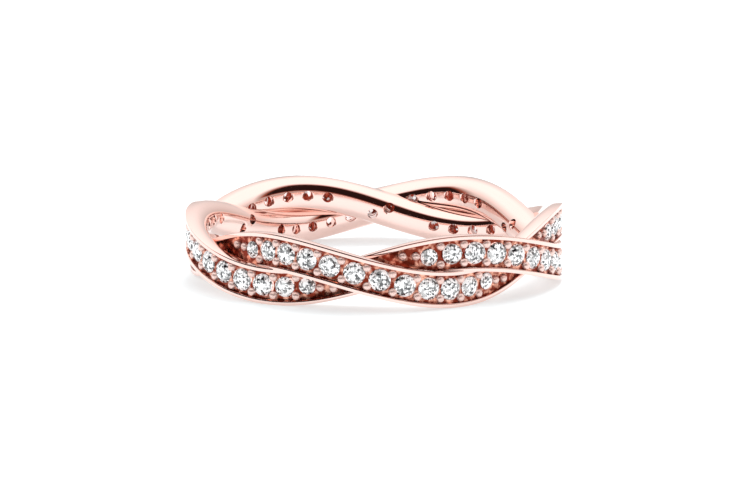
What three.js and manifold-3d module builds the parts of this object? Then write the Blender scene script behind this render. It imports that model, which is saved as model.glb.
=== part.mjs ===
// A braided eternity ring: two flat strands wind round each other three times, and each
// one carries a sunken row of set stones wherever it lies on the outside.
import * as THREE from "three";
import { mergeVertices } from "three/addons/utils/BufferGeometryUtils.js";
import Module from "manifold-3d";

const wasm = await Module();
wasm.setup();

// Strand sizes, in millimetres
const STRAND_RADIUS = 9.8;
const STRAND_WIDTH = 2.03;
const STRAND_THICKNESS = 1.25;
const RADIAL_SWING = 0.6;
const VERTICAL_SWING = 0.96;
const INNER_ROUNDING = 0.75;

// Channel and setting
const RIM_WIDTH = 0.24;
const RIM_HEIGHT = 0.24;
const SETTING_THICKNESS = 0.24;
const SETTING_CLEARANCE = 0.04;

// Stones, beads and the drillings behind the stones
const STONE_DIAMETER = 1.22;
const STONE_SPACING = 0.08;
const STONE_CROWN = 0.21;
const STONE_BACK = 0.18;
const STONE_SINK = 0.04;
const TABLE_DIAMETER = 0.7;
const BEAD_DIAMETER = 0.42;
const BEAD_INSET = 0.02;
const TIP_BEAD_STEP = 0.72;
const TIP_BEAD_DROP = 0.18;
const DRILL_DIAMETER = 0.56;

// Layout: both strands rise and fall this many times in one turn
const WAVES = 3;
const STRANDS = 2;
const STEPS = 48;
const STONE_RUN_DEGREES = 80.8;
const STONE_SIDES = 8;
const DRILL_SIDES = 6;
// Shares of the full diameter, from the tip of a row inwards
const TIP_STONE_SHARES = [0.78, 0.92];

const rad = THREE.MathUtils.degToRad;
const deg = THREE.MathUtils.radToDeg;
const STEP_DEGREES = 360 / STEPS;
const CROSSING_DEGREES = 360 / (WAVES * STRANDS);
const FACE = STRAND_THICKNESS / 2;
const CHANNEL_WIDTH = STRAND_WIDTH - 2 * RIM_WIDTH;
const FLOOR = FACE - RIM_HEIGHT;
const SETTING_BOTTOM = FLOOR - SETTING_THICKNESS;
const CHANNEL_BOTTOM = SETTING_BOTTOM - SETTING_CLEARANCE;
const STONE_RADIUS_LINE = STRAND_RADIUS + FLOOR;
// The lowest facets of both strands lie on the plane z = 0
const REST_HEIGHT =
  VERTICAL_SWING * Math.cos(rad((WAVES * STEP_DEGREES) / 2)) + STRAND_WIDTH / 2;

const roseGold = { color: 0xe8b49c, roughness: 0.18, metalness: 1 };
const clearStone = { color: 0xf2f3f5, roughness: 0.08, metalness: 0.1 };

// Where a strand's centre line runs: degrees are counted from the front, and zero is the
// middle of the stretch where this strand lies on the outside
function centreLine(degrees) {
  const phase = rad(WAVES * degrees + 90);
  return {
    radius: STRAND_RADIUS + RADIAL_SWING * Math.sin(phase),
    height: REST_HEIGHT + VERTICAL_SWING * Math.cos(phase),
  };
}

// A point beside the centre line of the strand whose outside stretch is at `turn`
function besideLine(turn, degrees, outward, upward) {
  const { radius, height } = centreLine(degrees);
  const angle = rad(turn + degrees);
  const r = radius + outward;
  return new THREE.Vector3(r * Math.sin(angle), -r * Math.cos(angle), height + upward);
}

// The strand's own axes at a point of its face: along it, out of its face, and across it
function faceAxes(turn, degrees) {
  const before = besideLine(turn, degrees - 0.5, FLOOR, 0);
  const after = besideLine(turn, degrees + 0.5, FLOOR, 0);
  const along = after.sub(before).normalize();
  const outward = new THREE.Vector3().crossVectors(along, new THREE.Vector3(0, 0, 1));
  outward.normalize();
  const across = new THREE.Vector3().crossVectors(outward, along);
  return new THREE.Matrix4().makeBasis(along, outward, across.negate());
}

// Joins rings of points into one closed surface; `endless` rings meet, others are capped
function loft(rings, endless) {
  const count = rings[0].length;
  const index = [];
  const spans = endless ? rings.length : rings.length - 1;
  for (let i = 0; i < spans; i += 1) {
    const here = i * count;
    const next = ((i + 1) % rings.length) * count;
    for (let j = 0; j < count; j += 1) {
      const k = (j + 1) % count;
      index.push(here + j, here + k, next + k, here + j, next + k, next + j);
    }
  }
  if (!endless) {
    const last = (rings.length - 1) * count;
    for (let j = 1; j < count - 1; j += 1) {
      index.push(0, j + 1, j);
      index.push(last, last + j, last + j + 1);
    }
  }
  const geometry = new THREE.BufferGeometry().setFromPoints(rings.flat());
  geometry.setIndex(index);
  return geometry;
}

// A closed geometry as a solid that can be joined and cut
function solid(geometry) {
  const bare = geometry.clone();
  bare.deleteAttribute("normal");
  bare.deleteAttribute("uv");
  const merged = mergeVertices(bare, 1e-4);
  const faces = [];
  const source = merged.index.array;
  for (let i = 0; i < source.length; i += 3) {
    const [a, b, c] = [source[i], source[i + 1], source[i + 2]];
    if (a !== b && b !== c && c !== a) {
      faces.push(a, b, c);
    }
  }
  return new wasm.Manifold(
    new wasm.Mesh({
      numProp: 3,
      vertProperties: merged.attributes.position.array,
      triVerts: new Uint32Array(faces),
    }),
  );
}

function meshOf(body, name, look) {
  const data = body.getMesh();
  const geometry = new THREE.BufferGeometry();
  const places = new THREE.BufferAttribute(data.vertProperties, 3);
  geometry.setAttribute("position", places);
  geometry.setIndex(new THREE.BufferAttribute(data.triVerts, 1));
  geometry.computeVertexNormals();
  const mesh = new THREE.Mesh(geometry, new THREE.MeshStandardMaterial(look));
  mesh.name = name;
  return mesh;
}

// A strand's section: crisp outer edges, rounded inner ones; `grow` swells it all round
function strandSection(grow) {
  const half = STRAND_WIDTH / 2 + grow;
  const face = FACE + grow;
  const round = INNER_ROUNDING;
  const middle = round * (1 - Math.SQRT1_2);
  return [
    [face, half],
    [face, -half],
    [-face + round, -half],
    [-face + middle, -half + middle],
    [-face, -half + round],
    [-face, half - round],
    [-face + middle, half - middle],
    [-face + round, half],
  ];
}

// The whole strand, its facets centred on the crests, troughs and crossings
function strand(turn, grow) {
  const rings = [];
  for (let i = 0; i < STEPS; i += 1) {
    const degrees = (i + 0.5) * STEP_DEGREES;
    const ring = strandSection(grow).map(([out, up]) => besideLine(turn, degrees, out, up));
    rings.push(ring);
  }
  return solid(loft(rings, true));
}

// A flat bar along the strand's outside stretch, on the strand's own steps
function bar(turn, reach, bottom, top, width, endGap) {
  const rings = [];
  const side = width / 2;
  for (let degrees = -reach; degrees <= reach + 1e-6; degrees += STEP_DEGREES) {
    let place = degrees;
    if (Math.abs(degrees + reach) < 1e-6) {
      place -= endGap;
    } else if (Math.abs(degrees - reach) < 1e-6) {
      place += endGap;
    }
    rings.push([
      besideLine(turn, place, top, side),
      besideLine(turn, place, top, -side),
      besideLine(turn, place, bottom, -side),
      besideLine(turn, place, bottom, side),
    ]);
  }
  return solid(loft(rings, false));
}

// Angles of the stones in one row, evenly spaced about its middle
function stoneAngles() {
  const length = rad(STONE_RUN_DEGREES) * STONE_RADIUS_LINE;
  const gaps = Math.floor(length / (STONE_DIAMETER + STONE_SPACING));
  const pitch = STONE_RUN_DEGREES / gaps;
  return Array.from({ length: gaps + 1 }, (_, i) => (i - gaps / 2) * pitch);
}

const ANGLES = stoneAngles();
const LAST_ANGLE = ANGLES[ANGLES.length - 1];
const TIP_DEGREES = deg(TIP_BEAD_STEP / STONE_RADIUS_LINE);
// The channel reaches from crossing to crossing, but for half a step of solid metal
const REACH = (Math.round(CROSSING_DEGREES / STEP_DEGREES) - 0.5) * STEP_DEGREES;
const END_GAP = deg(SETTING_CLEARANCE / STONE_RADIUS_LINE);

// A round stone with a table and a ring of crown facets, its back inside the setting
function stone(turn, degrees, share) {
  const radius = (STONE_DIAMETER / 2) * share;
  const profile = [
    new THREE.Vector2(0, -STONE_BACK * share),
    new THREE.Vector2(radius, 0),
    new THREE.Vector2((TABLE_DIAMETER / 2) * share, STONE_CROWN * share),
    new THREE.Vector2(0, STONE_CROWN * share),
  ];
  const place = faceAxes(turn, degrees);
  const girdle = FACE - STONE_SINK - STONE_CROWN;
  place.setPosition(besideLine(turn, degrees, girdle, 0));
  return solid(new THREE.LatheGeometry(profile, STONE_SIDES).applyMatrix4(place));
}

function bead(turn, degrees, upward) {
  const ball = new THREE.OctahedronGeometry(BEAD_DIAMETER / 2);
  const place = faceAxes(turn, degrees);
  place.setPosition(besideLine(turn, degrees, FLOOR, upward));
  return solid(ball.applyMatrix4(place));
}

// A row of stones and beads in its setting, clear of the strand that crosses over its tips
function paveRow(turn, other) {
  const width = CHANNEL_WIDTH - 2 * SETTING_CLEARANCE;
  const beadLine = width / 2 - BEAD_DIAMETER / 2 - BEAD_INSET;
  let row = bar(turn, REACH, SETTING_BOTTOM, FLOOR, width, 0);
  ANGLES.forEach((angle, i) => {
    const fromTip = Math.min(i, ANGLES.length - 1 - i);
    const share = TIP_STONE_SHARES[fromTip] ?? 1;
    row = row.add(stone(turn, angle, share));
    if (i > 0) {
      const middle = (angle + ANGLES[i - 1]) / 2;
      row = row.add(bead(turn, middle, beadLine)).add(bead(turn, middle, -beadLine));
    }
  });
  for (const end of [-1, 1]) {
    for (const place of [1, 2]) {
      const degrees = end * (LAST_ANGLE + place * TIP_DEGREES);
      row = row.add(bead(turn, degrees, -end * place * TIP_BEAD_DROP));
    }
  }
  return row.subtract(strand(other, SETTING_CLEARANCE));
}

// A drilling from the channel floor through the metal behind a stone, to the finger side:
// through both strands where the other one lies squarely behind, else through its own
function drilling(turn, degrees) {
  const top = SETTING_BOTTOM;
  const offset = 2 * Math.abs(centreLine(degrees).height - REST_HEIGHT);
  const backed = offset < (STRAND_WIDTH - DRILL_DIAMETER) / 2;
  const own = top + FACE + SETTING_CLEARANCE;
  const depth = backed ? own + 2 * RADIAL_SWING : own;
  const drill = new THREE.CylinderGeometry(
    DRILL_DIAMETER / 2,
    DRILL_DIAMETER / 2,
    depth,
    DRILL_SIDES,
  );
  drill.rotateY(Math.PI / DRILL_SIDES);
  drill.translate(0, -depth / 2, 0);
  const place = faceAxes(turn, degrees);
  place.setPosition(besideLine(turn, degrees, top, 0));
  return solid(drill.applyMatrix4(place));
}

// The turns at which each strand lies on the outside
const turnsOf = (which) =>
  Array.from({ length: WAVES }, (_, i) => (which + i * STRANDS) * CROSSING_DEGREES);

const strandTurns = Array.from({ length: STRANDS }, (_, which) => turnsOf(which));
const channelTop = FACE + RIM_HEIGHT;
const bars = strandTurns.map((turns) =>
  turns
    .map((turn) => bar(turn, REACH, CHANNEL_BOTTOM, channelTop, CHANNEL_WIDTH, END_GAP))
    .reduce((all, next) => all.add(next)),
);
const strands = strandTurns.map((turns, which) => strand(turns[0], 0).subtract(bars[which]));
const drillings = strandTurns
  .flat()
  .flatMap((turn) => ANGLES.map((angle) => drilling(turn, angle)))
  .reduce((all, next) => all.add(next));
const band = strands.reduce((all, next) => all.add(next)).subtract(drillings);

const ring = new THREE.Group();
ring.add(meshOf(band, "braided_band", roseGold));
strandTurns.forEach((turns, which) => {
  const other = strandTurns[(which + 1) % STRANDS][0];
  turns.forEach((turn, i) => {
    const name = `pave_row_${"ab"[which]}${i + 1}`;
    ring.add(meshOf(paveRow(turn, other), name, clearStone));
  });
});

export default ring;
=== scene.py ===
import math

import bmesh
import bpy
import numpy as np
from mathutils import Matrix, Vector


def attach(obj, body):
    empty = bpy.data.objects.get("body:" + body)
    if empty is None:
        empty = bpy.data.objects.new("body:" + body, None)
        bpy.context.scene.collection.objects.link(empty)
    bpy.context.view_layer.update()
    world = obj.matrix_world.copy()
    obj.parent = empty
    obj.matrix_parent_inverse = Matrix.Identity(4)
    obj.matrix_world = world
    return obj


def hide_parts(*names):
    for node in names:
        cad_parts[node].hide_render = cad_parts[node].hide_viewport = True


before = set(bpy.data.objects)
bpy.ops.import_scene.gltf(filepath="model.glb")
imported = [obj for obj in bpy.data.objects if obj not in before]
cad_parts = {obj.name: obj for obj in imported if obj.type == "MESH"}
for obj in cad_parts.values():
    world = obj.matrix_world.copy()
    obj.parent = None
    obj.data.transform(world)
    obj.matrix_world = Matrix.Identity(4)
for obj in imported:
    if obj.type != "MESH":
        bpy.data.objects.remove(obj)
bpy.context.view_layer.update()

bl_info = {
    "name": "Braided Eternity Ring",
    "version": (1, 0, 0),
    "blender": (4, 5, 0),
    "location": "View3D > Sidebar > Ring",
    "description": "Builds a braided eternity ring with pave rows on its packed model",
    "category": "Object",
}

# How often each strand rises and falls in one turn, and the degrees at which it is outermost
WAVES = 3
TURNS = {"a": (0.0, 120.0, 240.0), "b": (60.0, 180.0, 300.0)}
# Shapes are made at a thousand times their size, where fine steps stay exact
LARGE = 1000.0
# The lengths from here on are in these large units
NEAR = 1e-4
SEAT_ROOM = 0.03
GRAIN_GAP = 0.02
TIP_STEP = 0.72
TIP_DROP = 0.18
# Height over the finger face and widening of each level of a drilling's countersink
COUNTERSINK = ((0.05, 0.0), (0.025, 0.012), (0.005, 0.04), (-0.01, 0.09))
# Shares of a stone's diameter: from its table to its girdle, and to the edge of its seat
CROWN_SHARE = 0.163
SEAT_SHARE = 0.17
# How deep a seat runs for each step inwards
SEAT_SLOPE = 0.86
# The strands' edges that are sharper than this get the polished bevel
SHARP_EDGE = math.radians(50)


class RingSizes(bpy.types.PropertyGroup):
    """Sizes of the two strands and their channels."""

    strand_radius: bpy.props.FloatProperty(
        name="Strand radius",
        description="Mean radius of a strand's centre line",
        default=0.0098,
        unit="LENGTH",
    )
    strand_width: bpy.props.FloatProperty(
        name="Strand width",
        description="Width of a strand along the ring's axis",
        default=0.00203,
        unit="LENGTH",
    )
    strand_thickness: bpy.props.FloatProperty(
        name="Strand thickness",
        description="Thickness of a strand between its outer and finger faces",
        default=0.00125,
        unit="LENGTH",
    )
    radial_swing: bpy.props.FloatProperty(
        name="Radial swing",
        description="How far a strand swings out and in",
        default=0.0006,
        unit="LENGTH",
    )
    vertical_swing: bpy.props.FloatProperty(
        name="Vertical swing",
        description="How far a strand swings up and down",
        default=0.00096,
        unit="LENGTH",
    )
    inner_rounding: bpy.props.FloatProperty(
        name="Inner rounding",
        description="Radius of the finger side's rounded edges",
        default=0.00088,
        unit="LENGTH",
    )
    rim_width: bpy.props.FloatProperty(
        name="Rim width",
        description="Width of the raised rims beside the channel",
        default=0.00024,
        unit="LENGTH",
    )
    rim_height: bpy.props.FloatProperty(
        name="Rim height",
        description="Height of the rims over the channel floor",
        default=0.00024,
        unit="LENGTH",
    )
    edge_softness: bpy.props.FloatProperty(
        name="Edge softness",
        description="Width of the polished bevel on the crisp edges",
        default=0.000025,
        unit="LENGTH",
    )


class StoneSizes(bpy.types.PropertyGroup):
    """Sizes of the stones, grains and drillings."""

    diameter: bpy.props.FloatProperty(
        name="Stone diameter",
        description="Diameter of the full-size stones",
        default=0.00122,
        unit="LENGTH",
    )
    run_degrees: bpy.props.FloatProperty(
        name="Run",
        description="Angle between the first and the last stone of a row, in degrees",
        default=80.8,
    )
    per_row: bpy.props.IntProperty(
        name="Stones in a row",
        description="How many stones are set in each row",
        default=12,
        min=2,
    )
    sink: bpy.props.FloatProperty(
        name="Sink",
        description="Depth of the stones' tables below the rims",
        default=0.00004,
        unit="LENGTH",
    )
    grain_diameter: bpy.props.FloatProperty(
        name="Grain diameter",
        description="Diameter of the small metal grains that hold the stones",
        default=0.00048,
        unit="LENGTH",
    )
    drill_diameter: bpy.props.FloatProperty(
        name="Drilling diameter",
        description="Diameter of the drillings behind the stones",
        default=0.00058,
        unit="LENGTH",
    )


class RingColours(bpy.types.PropertyGroup):
    """Colours of the metal, the painted shade of its recesses and seats, and the stones."""

    gold: bpy.props.FloatVectorProperty(
        name="Rose gold",
        description="Colour of the polished metal",
        subtype="COLOR",
        size=4,
        default=(0.95, 0.69, 0.625, 1.0),
    )
    # The recess and seat colours are painted shade: their dark red stands in for the shade in
    # the channel and the drillings
    recess: bpy.props.FloatVectorProperty(
        name="Recess",
        description="Colour of the metal deep in the channel",
        subtype="COLOR",
        size=4,
        default=(0.22, 0.032, 0.016, 1.0),
    )
    seat: bpy.props.FloatVectorProperty(
        name="Seat",
        description="Colour of the bare metal behind and around the stones",
        subtype="COLOR",
        size=4,
        default=(0.10, 0.014, 0.007, 1.0),
    )
    stone: bpy.props.FloatVectorProperty(
        name="Stone",
        description="Colour of the stones",
        subtype="COLOR",
        size=4,
        default=(0.97, 0.975, 0.98, 1.0),
    )


class StageSettings(bpy.types.PropertyGroup):
    """Camera, floor and light."""

    elevation: bpy.props.FloatProperty(
        name="Elevation",
        description="Height of the camera over the horizon",
        default=math.radians(11.0),
        subtype="ANGLE",
    )
    azimuth: bpy.props.FloatProperty(
        name="Azimuth",
        description="How far the camera stands to the right of the front",
        default=math.radians(2.3),
        subtype="ANGLE",
    )
    distance: bpy.props.FloatProperty(
        name="Distance",
        description="Distance from the ring's centre to the camera",
        default=0.272,
        unit="LENGTH",
    )
    focal_length: bpy.props.FloatProperty(
        name="Focal length",
        description="Focal length of the camera in millimetres",
        default=231.3,
    )
    aim_height: bpy.props.FloatProperty(
        name="Aim height",
        description="Height of the point that the camera looks at",
        default=0.00192,
        unit="LENGTH",
    )
    sky_strength: bpy.props.FloatProperty(
        name="Sky strength",
        description="Brightness of the white surroundings",
        default=1.38,
    )
    top_light: bpy.props.FloatProperty(
        name="Top light",
        description="Strength of the soft light from above",
        default=1.2,
    )
    front_light: bpy.props.FloatProperty(
        name="Front light",
        description="Strength of the soft light from the camera's side",
        default=0.4,
    )


def rest_height(sizes):
    return sizes.vertical_swing + sizes.strand_width / 2


# A place beside the centre line of the strand that is outermost at this turn, in large units
def beside_line(sizes, turn, degrees, outward, upward):
    phase = math.radians(WAVES * degrees + 90)
    angle = math.radians(turn + degrees)
    radius = LARGE * (sizes.strand_radius + sizes.radial_swing * math.sin(phase)) + outward
    height = LARGE * (rest_height(sizes) + sizes.vertical_swing * math.cos(phase)) + upward
    return Vector((radius * math.sin(angle), -radius * math.cos(angle), height))


# Axes of the strand's outer face at a place: along it, across it, and out of it
def face_axes(sizes, turn, degrees, outward, upward=0.0, spin=0.0):
    before = beside_line(sizes, turn, degrees - 0.5, outward, 0)
    after = beside_line(sizes, turn, degrees + 0.5, outward, 0)
    along = (after - before).normalized()
    out = along.cross(Vector((0, 0, 1))).normalized()
    across = out.cross(along)
    turned = Matrix((along, across, out)).transposed().to_4x4()
    place = Matrix.Translation(beside_line(sizes, turn, degrees, outward, upward))
    return place @ turned @ Matrix.Rotation(spin, 4, "Z")


def stone_angles(stones):
    gaps = stones.per_row - 1
    return [(i - gaps / 2) * stones.run_degrees / gaps for i in range(stones.per_row)]


# The stones at the tips of a row are smaller
def stone_share(stones, index):
    from_tip = min(index, stones.per_row - 1 - index)
    return {0: 0.78, 1: 0.92}.get(from_tip, 1.0)


def leave_edit_mode():
    if bpy.context.object is not None and bpy.context.object.mode != "OBJECT":
        bpy.ops.object.mode_set(mode="OBJECT")


def select_only(*objects):
    leave_edit_mode()
    bpy.ops.object.select_all(action="DESELECT")
    for obj in objects:
        obj.select_set(True)
    if objects:
        bpy.context.view_layer.objects.active = objects[0]


# Selects the parts of the edited mesh whose middle passes the test
def pick(kind, test):
    bpy.ops.mesh.select_mode(type=kind)
    bpy.ops.mesh.select_all(action="DESELECT")
    mesh = bpy.context.edit_object.data
    bm = bmesh.from_edit_mesh(mesh)
    parts = {"VERT": bm.verts, "EDGE": bm.edges, "FACE": bm.faces}[kind]
    for part in parts:
        if kind == "VERT":
            middle = part.co
        elif kind == "EDGE":
            middle = (part.verts[0].co + part.verts[1].co) / 2
        else:
            middle = part.calc_center_median()
        part.select_set(test(middle))
    bm.select_flush_mode()
    bmesh.update_edit_mesh(mesh)


# A round solid grown level by level from a circle: each level is a height and a radius
def turned_solid(name, levels, sides):
    select_only()
    height, radius = levels[0]
    bpy.ops.mesh.primitive_circle_add(
        vertices=sides, radius=radius, fill_type="NGON", location=(0, 0, height)
    )
    obj = bpy.context.object
    bpy.ops.object.transform_apply(location=True, rotation=False, scale=False)
    bpy.ops.object.mode_set(mode="EDIT")
    bpy.ops.mesh.select_mode(type="FACE")
    bpy.ops.mesh.select_all(action="SELECT")
    for next_height, next_radius in levels[1:]:
        bpy.ops.mesh.extrude_region_move(
            TRANSFORM_OT_translate={"value": (0, 0, next_height - height)}
        )
        grow = next_radius / radius
        bpy.ops.transform.resize(
            value=(grow, grow, 1), center_override=(0, 0, next_height)
        )
        height, radius = next_height, next_radius
    bpy.ops.mesh.select_all(action="SELECT")
    bpy.ops.mesh.normals_make_consistent(inside=False)
    bpy.ops.object.mode_set(mode="OBJECT")
    obj.name = name
    return obj


# Copies of one shape at many places, joined into one piece
def spread(name, shape, places):
    copies = []
    for place in places:
        copy = bpy.data.objects.new(name, shape.data.copy())
        copy.data.transform(place)
        bpy.context.scene.collection.objects.link(copy)
        copies.append(copy)
    select_only(*copies)
    bpy.ops.object.join()
    joined = bpy.context.object
    joined.name = name
    joined.data.name = name
    return joined


def remove(*objects):
    for obj in objects:
        bpy.data.objects.remove(obj, do_unlink=True)


# Brings a shape to its real size, gives it its look and ties it to the ring
def place_piece(obj, name, nodes, materials):
    select_only(obj)
    obj.scale = (1 / LARGE,) * 3
    bpy.ops.object.transform_apply(location=True, rotation=True, scale=True)
    obj.name = name
    obj.data.name = name
    for index, material in enumerate(materials):
        if index < len(obj.data.materials):
            obj.data.materials[index] = material
        else:
            obj.data.materials.append(material)
    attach(obj, "root")
    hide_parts(*nodes)


def add_node(tree, kind, place, **values):
    node = tree.nodes.new(kind)
    node.location = place
    for key, value in values.items():
        if key.startswith("in_"):
            node.inputs[key[3:].replace("_", " ")].default_value = value
        else:
            setattr(node, key, value)
    return node


def fresh_material(name):
    material = bpy.data.materials.new(name)
    material.use_nodes = True
    tree = material.node_tree
    shader = tree.nodes["Principled BSDF"]
    where = add_node(tree, "ShaderNodeTexCoord", (-1100, 0))
    return material, tree, shader, where.outputs["Object"]


def grey(level):
    return (level, level, level, 1.0)


def ramp_node(tree, source, place, stops, interpolation="LINEAR"):
    ramp = add_node(tree, "ShaderNodeValToRGB", place)
    ramp.color_ramp.interpolation = interpolation
    elements = ramp.color_ramp.elements
    while len(elements) < len(stops):
        elements.new(0.5)
    for element, (position, colour) in zip(elements, stops):
        element.position = position
        element.color = colour
    tree.links.new(source, ramp.inputs["Fac"])
    return ramp.outputs["Color"]


# A soft change between two colours that follows a noise
def noise_colours(tree, where, scale, first, second, place, limits=(0.35, 0.65)):
    noise = add_node(tree, "ShaderNodeTexNoise", place, in_Scale=scale, in_Detail=2.0)
    tree.links.new(where, noise.inputs["Vector"])
    beside = (place[0] + 200, place[1])
    return ramp_node(tree, noise.outputs["Fac"], beside, tuple(zip(limits, (first, second))))


def noise_range(tree, where, scale, low, high, place):
    noise = add_node(tree, "ShaderNodeTexNoise", place, in_Scale=scale, in_Detail=3.0)
    tree.links.new(where, noise.inputs["Vector"])
    limits = add_node(tree, "ShaderNodeMapRange", (place[0] + 200, place[1]))
    limits.inputs["From Min"].default_value = 0.3
    limits.inputs["From Max"].default_value = 0.7
    limits.inputs["To Min"].default_value = low
    limits.inputs["To Max"].default_value = high
    tree.links.new(noise.outputs["Fac"], limits.inputs["Value"])
    return noise.outputs["Fac"], limits.outputs["Result"]


# Fine marks that tilt the light on a surface
def add_bump(tree, shader, marks, strength, distance):
    bump = add_node(tree, "ShaderNodeBump", (-300, -300))
    bump.inputs["Strength"].default_value = strength
    bump.inputs["Distance"].default_value = distance
    tree.links.new(marks, bump.inputs["Height"])
    tree.links.new(bump.outputs["Normal"], shader.inputs["Normal"])


def tinted(colour, share):
    return tuple(min(1.0, c * share) for c in colour[:3]) + (1.0,)


# Polished rose gold with the faint marks of the buffing wheel
def polished_gold(colours, name="polished_rose_gold", rough=(0.05, 0.11), metallic=1.0):
    material, tree, shader, where = fresh_material(name)
    shader.inputs["Metallic"].default_value = metallic
    darker, lighter = tinted(colours.gold, 0.985), tinted(colours.gold, 1.02)
    tint = noise_colours(tree, where, 160.0, darker, lighter, (-800, 200))
    tree.links.new(tint, shader.inputs["Base Color"])
    marks, polish = noise_range(tree, where, 700.0, *rough, (-800, -100))
    tree.links.new(polish, shader.inputs["Roughness"])
    add_bump(tree, shader, marks, 0.04, 0.00001)
    return material


# Rougher metal for the channel floor and the seats, coloured with painted shade: the deep
# colour is the shade of the recess, broken by noise patches of painted reflected light
def painted_shade_gold(name, deep, raised, metallic):
    material, tree, shader, where = fresh_material(name)
    shader.inputs["Metallic"].default_value = metallic
    tint = noise_colours(tree, where, 2800.0, deep, raised, (-800, 200), (0.47, 0.66))
    tree.links.new(tint, shader.inputs["Base Color"])
    marks, polish = noise_range(tree, where, 4000.0, 0.16, 0.32, (-800, -100))
    tree.links.new(polish, shader.inputs["Roughness"])
    add_bump(tree, shader, marks, 0.3, 0.00002)
    return material


# Clear stones, bright: the black and grey flashes of their back facets are painted
# reflections in the colour, and the same colour is given off as a painted glow
def clear_stone(name, cells, stops, painted_shine):
    material, tree, shader, where = fresh_material(name)
    painted_flash_cells = add_node(
        tree, "ShaderNodeTexVoronoi", (-800, 200), distance="MANHATTAN", in_Scale=cells
    )
    tree.links.new(where, painted_flash_cells.inputs["Vector"])
    split = add_node(tree, "ShaderNodeSeparateColor", (-680, 100))
    tree.links.new(painted_flash_cells.outputs["Color"], split.inputs["Color"])
    colour = ramp_node(tree, split.outputs["Red"], (-550, 200), stops, "CONSTANT")
    tree.links.new(colour, shader.inputs["Base Color"])
    tree.links.new(colour, shader.inputs["Emission Color"])
    shader.inputs["Emission Strength"].default_value = painted_shine
    shader.inputs["Roughness"].default_value = 0.04
    shader.inputs["IOR"].default_value = 2.15
    shader.inputs["Metallic"].default_value = 0.0
    return material


MATERIALS = {}


def looks():
    if not MATERIALS:
        colours = bpy.context.scene.ring_colours
        painted_flash_tones = {share: tinted(colours.stone, share) for share in (0.2, 0.5, 0.95)}
        MATERIALS["gold"] = polished_gold(colours)
        MATERIALS["grain"] = polished_gold(colours, "grain_rose_gold", (0.22, 0.3), 0.6)
        # The channel floor and the seats: dark red painted shade with lighter patches of
        # painted reflection
        painted_reflection_tint = (0.95, 0.47, 0.34, 1.0)
        MATERIALS["recess"] = painted_shade_gold("channel_gold_painted_shade", colours.recess, painted_reflection_tint, 1.0)
        seat_painted_light = tinted(colours.seat, 2.4)
        MATERIALS["seat"] = painted_shade_gold("seat_gold_painted_shade", colours.seat, seat_painted_light, 0.0)
        black = (0.012, 0.01, 0.012, 1.0)
        # The stones' crowns: painted reflection flashes, white with grey and black cells
        painted_flash_stops = ((0, black), (0.22, painted_flash_tones[0.2]), (0.36, painted_flash_tones[0.5]), (0.54, painted_flash_tones[0.95]))
        MATERIALS["stone"] = clear_stone("cut_stone_painted_sparkle", 8500.0, painted_flash_stops, 0.35)
        # The stones' back facets, seen through the drillings: painted reflections of the dark
        # red seat and white painted glints, given off as a painted glow
        dark = ((0, colours.seat), (0.4, seat_painted_light), (0.62, painted_flash_tones[0.5]), (0.72, painted_flash_tones[0.95]))
        MATERIALS["stone_back"] = clear_stone("stone_back_painted_glints", 3600.0, dark, 0.8)
    return MATERIALS


# The outline of a strand's section beside the ring's axis, with its sunken channel
def strand_outline(sizes):
    radius = LARGE * sizes.strand_radius
    half_width = LARGE * sizes.strand_width / 2
    face = LARGE * sizes.strand_thickness / 2
    channel = half_width - LARGE * sizes.rim_width
    depth = LARGE * sizes.rim_height
    select_only()
    bpy.ops.mesh.primitive_plane_add(
        size=1, location=(radius, 0, 0), rotation=(math.pi / 2, 0, 0)
    )
    obj = bpy.context.object
    bpy.ops.object.transform_apply(location=True, rotation=True, scale=True)
    bpy.ops.object.mode_set(mode="EDIT")
    bpy.ops.mesh.select_all(action="SELECT")
    bpy.ops.transform.resize(
        value=(2 * face, 1, 2 * half_width), center_override=(radius, 0, 0)
    )
    pick("VERT", lambda co: co.x < radius)
    bpy.ops.mesh.bevel(
        offset=LARGE * sizes.inner_rounding, segments=16, affect="VERTICES"
    )
    bpy.ops.mesh.select_all(action="SELECT")
    bpy.ops.mesh.delete(type="ONLY_FACE")
    pick("EDGE", lambda co: co.x > radius + face - NEAR)
    bpy.ops.mesh.subdivide(number_cuts=2)
    third = half_width / 3
    pick("VERT", lambda co: co.x > radius + face - NEAR and abs(co.z) < 2 * third)
    bpy.ops.transform.resize(value=(1, 1, channel / third), center_override=(radius, 0, 0))
    pick("EDGE", lambda co: co.x > radius + face - NEAR and abs(co.z) < third)
    bpy.ops.mesh.extrude_edges_move(TRANSFORM_OT_translate={"value": (-depth, 0, 0)})
    pick("EDGE", lambda co: co.x > radius + face - NEAR and abs(co.z) < third)
    bpy.ops.mesh.delete(type="EDGE")
    return obj


# Moves each point of a plain hoop onto the winding course of a strand
def wind(obj, sizes, turn):
    mesh = obj.data
    points = np.empty(len(mesh.vertices) * 3)
    mesh.vertices.foreach_get("co", points)
    points = points.reshape(-1, 3)
    angle = np.arctan2(points[:, 0], -points[:, 1])
    phase = WAVES * (angle - math.radians(turn)) + math.pi / 2
    radius = np.hypot(points[:, 0], points[:, 1])
    radius += LARGE * sizes.radial_swing * np.sin(phase)
    height = points[:, 2] + LARGE * (
        rest_height(sizes) + sizes.vertical_swing * np.cos(phase)
    )
    moved = np.column_stack((radius * np.sin(angle), -radius * np.cos(angle), height))
    mesh.vertices.foreach_set("co", moved.ravel())
    mesh.update()


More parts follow.
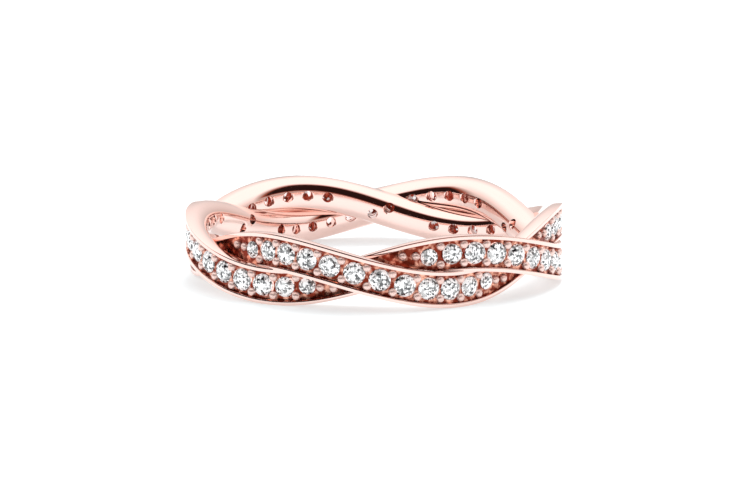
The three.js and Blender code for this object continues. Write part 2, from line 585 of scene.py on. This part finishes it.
def strand_hoop(sizes):
    obj = strand_outline(sizes)
    bpy.ops.mesh.select_all(action="SELECT")
    bpy.ops.mesh.spin(
        steps=540, angle=2 * math.pi, center=(0, 0, 0), axis=(0, 0, 1), dupli=False
    )
    bpy.ops.mesh.select_all(action="SELECT")
    bpy.ops.mesh.remove_doubles(threshold=NEAR)
    bpy.ops.mesh.normals_make_consistent(inside=False)
    bpy.ops.object.mode_set(mode="OBJECT")
    bpy.ops.object.modifier_add(type="BEVEL")
    bevel = obj.modifiers[-1]
    bevel.width = LARGE * sizes.edge_softness
    bevel.segments = 2
    bevel.limit_method = "ANGLE"
    bevel.angle_limit = SHARP_EDGE
    bpy.ops.object.modifier_apply(modifier=bevel.name)
    return obj


# The channel's floor and walls take the second material, with its painted shade
def mark_channel(obj, sizes):
    floor = LARGE * (
        sizes.strand_radius + sizes.strand_thickness / 2 - sizes.rim_height
    )
    half = LARGE * (sizes.strand_width / 2 - sizes.rim_width)
    for face in obj.data.polygons:
        middle = face.center
        reach = math.hypot(middle.x, middle.y)
        inside = abs(middle.z) < half + 0.005 and floor - 0.02 < reach
        below = reach < floor + LARGE * (sizes.rim_height - sizes.edge_softness)
        face.material_index = 1 if inside and below else 0


# The cutter of a seat and its drilling, with heights from the strand's centre line outwards
def drill_shape(name, sizes, stones, share, through):
    size = LARGE * stones.diameter * share
    seat = size / 2 + SEAT_ROOM
    bore = LARGE * stones.drill_diameter / 2
    face = LARGE * sizes.strand_thickness / 2
    girdle = face - LARGE * stones.sink - SEAT_SHARE * size
    bottom = girdle - (seat - bore) * SEAT_SLOPE
    finger = -face - (2 * LARGE * sizes.radial_swing if through else 0)
    levels = [(girdle + 0.05, seat), (girdle - 0.01, seat), (bottom, bore)]
    levels += [(finger + height, bore + wider) for height, wider in COUNTERSINK]
    obj = turned_solid(name, levels, 20)
    flare_top = finger + COUNTERSINK[0][0] - 0.005
    # The seat and the bore take the seat material, with its painted shade; the countersink
    # stays polished
    for polygon in obj.data.polygons:
        polygon.material_index = 0 if polygon.center.z < flare_top else 2
    return obj


# The other strand lies squarely behind a stone near the middle of a row
def is_backed(sizes, stones, degrees):
    apart = 2 * abs(sizes.vertical_swing * math.cos(math.radians(WAVES * degrees + 90)))
    return apart < (sizes.strand_width - stones.drill_diameter) / 2


def all_drills(sizes, stones):
    shapes = {}
    copies = []
    for turns in TURNS.values():
        for turn in turns:
            for index, degrees in enumerate(stone_angles(stones)):
                share = stone_share(stones, index)
                through = is_backed(sizes, stones, degrees)
                key = (share, through)
                if key not in shapes:
                    shapes[key] = drill_shape("drill", sizes, stones, share, through)
                place = face_axes(sizes, turn, degrees, 0.0)
                copies.append(spread("drill_copy", shapes[key], [place]))
    select_only(*copies)
    bpy.ops.object.join()
    joined = bpy.context.object
    remove(*shapes.values())
    return joined


class RING_OT_strands(bpy.types.Operator):
    """Builds the two winding strands with their channels and drillings"""

    bl_idname = "ring.strands"
    bl_label = "Strands"

    def execute(self, context):
        sizes = context.scene.ring_sizes
        stones = context.scene.ring_stones
        metals = [looks()[key] for key in ("gold", "recess", "seat")]
        drills = all_drills(sizes, stones)
        drills.data.materials.clear()
        for metal in metals:
            drills.data.materials.append(metal)
        for name, turns in TURNS.items():
            obj = strand_hoop(sizes)
            for metal in metals:
                obj.data.materials.append(metal)
            mark_channel(obj, sizes)
            wind(obj, sizes, turns[0])
            select_only(obj)
            bpy.ops.object.modifier_add(type="BOOLEAN")
            cut = obj.modifiers[-1]
            cut.operation = "DIFFERENCE"
            cut.solver = "EXACT"
            cut.object = drills
            bpy.ops.object.modifier_apply(modifier=cut.name)
            bpy.ops.object.shade_smooth_by_angle(angle=math.radians(35))
            place_piece(obj, "strand_" + name, ["braided_band"], metals)
        remove(drills)
        return {"FINISHED"}


# A round brilliant of diameter 1, cut facet by facet from a short rod
def brilliant():
    select_only()
    bpy.ops.mesh.primitive_cylinder_add(vertices=16, radius=0.5, depth=1.2)
    obj = bpy.context.object
    bpy.ops.object.mode_set(mode="EDIT")
    crown, star, upper = math.radians(34.5), math.radians(21), math.radians(41)
    main, lower = math.radians(40.8), math.radians(42.4)
    table = 0.285
    girdle = 0.015
    top = girdle + (0.5 - table) * math.tan(crown)
    flat = table * math.cos(math.pi / 8)
    cuts = [((0, 0, top), (0, 0, 1))]
    for i in range(8):
        azimuth = i * math.pi / 4
        half = azimuth + math.pi / 8
        cuts.append(facet(azimuth, crown, 0.5, girdle, 1))
        cuts.append(facet(half, star, flat, top, 1))
        cuts.append(facet(azimuth, main, 0.5, -girdle, -1))
    for i in range(16):
        azimuth = (i + 0.5) * math.pi / 8
        cuts.append(facet(azimuth, upper, 0.5, 0.8 * girdle, 1))
        cuts.append(facet(azimuth, lower, 0.5, -0.8 * girdle, -1))
    for place, normal in cuts:
        bpy.ops.mesh.select_all(action="SELECT")
        bpy.ops.mesh.bisect(
            plane_co=place, plane_no=normal, use_fill=True, clear_outer=True, threshold=1e-5
        )
    bpy.ops.mesh.select_all(action="SELECT")
    bpy.ops.mesh.remove_doubles(threshold=NEAR)
    bpy.ops.mesh.normals_make_consistent(inside=False)
    bpy.ops.object.mode_set(mode="OBJECT")
    obj.name = "brilliant"
    obj.data.materials.append(looks()["stone"])
    obj.data.materials.append(looks()["stone_back"])
    # The back facets take the second material, with its painted glints and glow
    for face in obj.data.polygons:
        face.material_index = 1 if face.center.z < -2 * girdle else 0
    return obj


# The plane of a facet that passes a radius and a height, on the crown or on the back
def facet(azimuth, slope, radius, height, side):
    out = Vector((math.cos(azimuth), math.sin(azimuth), 0))
    place = out * radius + Vector((0, 0, height))
    normal = out * math.sin(slope) + Vector((0, 0, side * math.cos(slope)))
    return tuple(place), tuple(normal)


class RING_OT_stones(bpy.types.Operator):
    """Sets a row of cut stones wherever a strand lies on the outside"""

    bl_idname = "ring.stones"
    bl_label = "Stones"

    def execute(self, context):
        sizes = context.scene.ring_sizes
        stones = context.scene.ring_stones
        shape = brilliant()
        face = LARGE * sizes.strand_thickness / 2
        diameter = LARGE * stones.diameter
        for name, turns in TURNS.items():
            for row, turn in enumerate(turns):
                places = []
                for index, degrees in enumerate(stone_angles(stones)):
                    size = diameter * stone_share(stones, index)
                    girdle = face - LARGE * stones.sink - CROWN_SHARE * size
                    spin = math.radians((index * 47 + row * 19) % 45)
                    place = face_axes(sizes, turn, degrees, girdle, 0.0, spin)
                    places.append(place @ Matrix.Scale(size, 4))
                label = f"{name}{row + 1}"
                nodes = ["pave_row_" + label]
                both = [looks()["stone"], looks()["stone_back"]]
                obj = spread("stones_" + label, shape, places)
                place_piece(obj, "stones_" + label, nodes, both)
        remove(shape)
        return {"FINISHED"}


# One grain: a short stem with a round head
def grain_shape(stones):
    radius = LARGE * stones.grain_diameter / 2
    levels = [(-0.06, radius * 1.02), (0.08, radius), (0.14, radius * 0.92)]
    levels += [(0.19, radius * 0.74), (0.22, radius * 0.5), (0.235, radius * 0.2)]
    obj = turned_solid("grain", levels, 12)
    select_only(obj)
    bpy.ops.object.shade_smooth_by_angle(angle=math.radians(80))
    return obj


class RING_OT_grains(bpy.types.Operator):
    """Raises the metal grains between the stones and in the tips of the rows"""

    bl_idname = "ring.grains"
    bl_label = "Grains"

    def execute(self, context):
        sizes = context.scene.ring_sizes
        stones = context.scene.ring_stones
        shape = grain_shape(stones)
        radius = LARGE * stones.grain_diameter / 2
        floor = LARGE * (sizes.strand_thickness / 2 - sizes.rim_height)
        channel = LARGE * (sizes.strand_width / 2 - sizes.rim_width)
        side = channel - radius - GRAIN_GAP
        step = math.degrees(TIP_STEP / (LARGE * sizes.strand_radius))
        angles = stone_angles(stones)
        for name, turns in TURNS.items():
            for row, turn in enumerate(turns):
                spots = []
                for first, second in zip(angles, angles[1:]):
                    middle = (first + second) / 2
                    spots += [(middle, side), (middle, -side)]
                for end in (-1, 1):
                    for count in (1, 2):
                        past = angles[-1] + count * step
                        spots.append((end * past, -end * count * TIP_DROP))
                places = []
                for degrees, upward in spots:
                    places.append(face_axes(sizes, turn, degrees, floor, upward))
                label = f"{name}{row + 1}"
                nodes = ["pave_row_" + label]
                obj = spread("grains_" + label, shape, places)
                place_piece(obj, "grains_" + label, nodes, [looks()["grain"]])
        remove(shape)
        return {"FINISHED"}


# A wide soft light that brightens floor and stones without a mirror image in the metal
def soft_light(name, toward, strength, spread_angle):
    select_only()
    bpy.ops.object.light_add(type="SUN", location=(0, 0, 0.3))
    light = bpy.context.object
    light.name = name
    light.data.energy = strength
    light.data.angle = math.radians(spread_angle)
    light.rotation_euler = Vector(toward).to_track_quat("-Z", "Y").to_euler()
    light.visible_glossy = False
    return light


def dot_node(tree, source, toward, height):
    dot = add_node(tree, "ShaderNodeVectorMath", (-1000, height), operation="DOT_PRODUCT")
    dot.inputs[1].default_value = toward
    tree.links.new(source, dot.inputs[0])
    return dot.outputs["Value"]


# White surroundings with a dark curtain round the camera's side, from low to halfway up,
# which leans to one side and turns red towards its edges
def studio_sky(stage):
    world = bpy.data.worlds.new("studio")
    bpy.context.scene.world = world
    world.use_nodes = True
    tree = world.node_tree
    backdrop = tree.nodes["Background"]
    where = add_node(tree, "ShaderNodeTexCoord", (-1200, 0))
    lean = math.radians(15)
    side = math.radians(-10)
    up = dot_node(tree, where.outputs["Generated"], (-math.sin(lean), 0, math.cos(lean)), 300)
    curtain = ((0, grey(0.7)), (0.13, grey(0.01)), (0.66, grey(0.01)), (0.78, grey(1)))
    height = ramp_node(tree, up, (-700, 300), curtain)
    toward = (math.sin(side), -math.cos(side), 0)
    facing = dot_node(tree, where.outputs["Generated"], toward, 0)
    behind = ramp_node(tree, facing, (-700, 0), ((0.1, grey(1)), (0.32, grey(0))))
    both = add_node(tree, "ShaderNodeMath", (-350, 0), operation="MAXIMUM")
    tree.links.new(height, both.inputs[0])
    tree.links.new(behind, both.inputs[1])
    level = dot_node(tree, where.outputs["Generated"], (0, 0, 1), -300)
    dusk = ramp_node(tree, level, (-700, -300), ((0.05, grey(0.5)), (0.75, grey(1))))
    dimmed = add_node(tree, "ShaderNodeMath", (-150, 0), operation="MULTIPLY")
    tree.links.new(both.outputs["Value"], dimmed.inputs[0])
    tree.links.new(dusk, dimmed.inputs[1])
    tones = ((0, (0.006, 0.004, 0.004, 1)), (0.22, (0.27, 0.08, 0.05, 1)))
    tones += ((0.45, (0.45, 0.4, 0.38, 1)), (1, grey(1)))
    warm = ramp_node(tree, dimmed.outputs["Value"], (-150, -300), tones)
    tree.links.new(warm, backdrop.inputs["Color"])
    backdrop.inputs["Strength"].default_value = stage.sky_strength


# A light table: part of its white comes from within, so shadows stay faint
def floor_material():
    material, tree, shader, where = fresh_material("white_floor")
    darker, lighter = (0.51, 0.55, 0.565, 1), (0.52, 0.56, 0.575, 1)
    tint = noise_colours(tree, where, 3.0, darker, lighter, (-800, 200))
    tree.links.new(tint, shader.inputs["Base Color"])
    shader.inputs["Emission Color"].default_value = (0.98, 1.0, 1.0, 1.0)
    shader.inputs["Emission Strength"].default_value = 0.5
    shader.inputs["Roughness"].default_value = 0.7
    shader.inputs["Specular IOR Level"].default_value = 0.2
    return material


class RING_OT_stage(bpy.types.Operator):
    """Lays the pale floor and sets the lights and the camera"""

    bl_idname = "ring.stage"
    bl_label = "Stage"

    def execute(self, context):
        stage = context.scene.ring_stage
        context.scene.view_settings.view_transform = "Standard"
        select_only()
        bpy.ops.mesh.primitive_plane_add(size=3.0, location=(0, 0, 0))
        floor = bpy.context.object
        floor.name = "floor"
        floor.data.materials.append(floor_material())
        studio_sky(stage)
        soft_light("top_light", (-0.12, -0.3, -1), stage.top_light, 25)
        soft_light("front_light", (0.15, 0.8, -0.55), stage.front_light, 60)
        bpy.ops.object.camera_add()
        camera = bpy.context.object
        camera.name = "camera"
        reach = stage.distance * math.cos(stage.elevation)
        camera.location = (
            reach * math.sin(stage.azimuth),
            -reach * math.cos(stage.azimuth),
            stage.aim_height + stage.distance * math.sin(stage.elevation),
        )
        aim = Vector((0, 0, stage.aim_height)) - camera.location
        camera.rotation_euler = aim.to_track_quat("-Z", "Y").to_euler()
        camera.data.sensor_width = 36.0
        camera.data.lens = stage.focal_length
        camera.data.clip_start = 0.01
        context.scene.camera = camera
        return {"FINISHED"}


class RING_PT_panel(bpy.types.Panel):
    """Lists the ring's sizes, colours and pieces"""

    bl_idname = "RING_PT_panel"
    bl_label = "Eternity ring"
    bl_space_type = "VIEW_3D"
    bl_region_type = "UI"
    bl_category = "Ring"

    def draw(self, context):
        scene = context.scene
        for group in GROUPS:
            settings = getattr(scene, group)
            box = self.layout.box()
            for key in settings.__annotations__:
                box.prop(settings, key)
        for operator in OPERATORS:
            self.layout.operator(operator.bl_idname)


GROUPS = {
    "ring_sizes": RingSizes,
    "ring_stones": StoneSizes,
    "ring_colours": RingColours,
    "ring_stage": StageSettings,
}
OPERATORS = (RING_OT_stage, RING_OT_strands, RING_OT_stones, RING_OT_grains)


def register():
    for name, group in GROUPS.items():
        bpy.utils.register_class(group)
        setattr(bpy.types.Scene, name, bpy.props.PointerProperty(type=group))
    for operator in OPERATORS:
        bpy.utils.register_class(operator)
    bpy.utils.register_class(RING_PT_panel)


def unregister():
    bpy.utils.unregister_class(RING_PT_panel)
    for operator in reversed(OPERATORS):
        bpy.utils.unregister_class(operator)
    for name, group in reversed(GROUPS.items()):
        delattr(bpy.types.Scene, name)
        bpy.utils.unregister_class(group)


def main():
    register()
    bpy.ops.ring.stage()
    bpy.ops.ring.strands()
    bpy.ops.ring.stones()
    bpy.ops.ring.grains()
    select_only()
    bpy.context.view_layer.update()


if __name__ == "__main__":
    main()
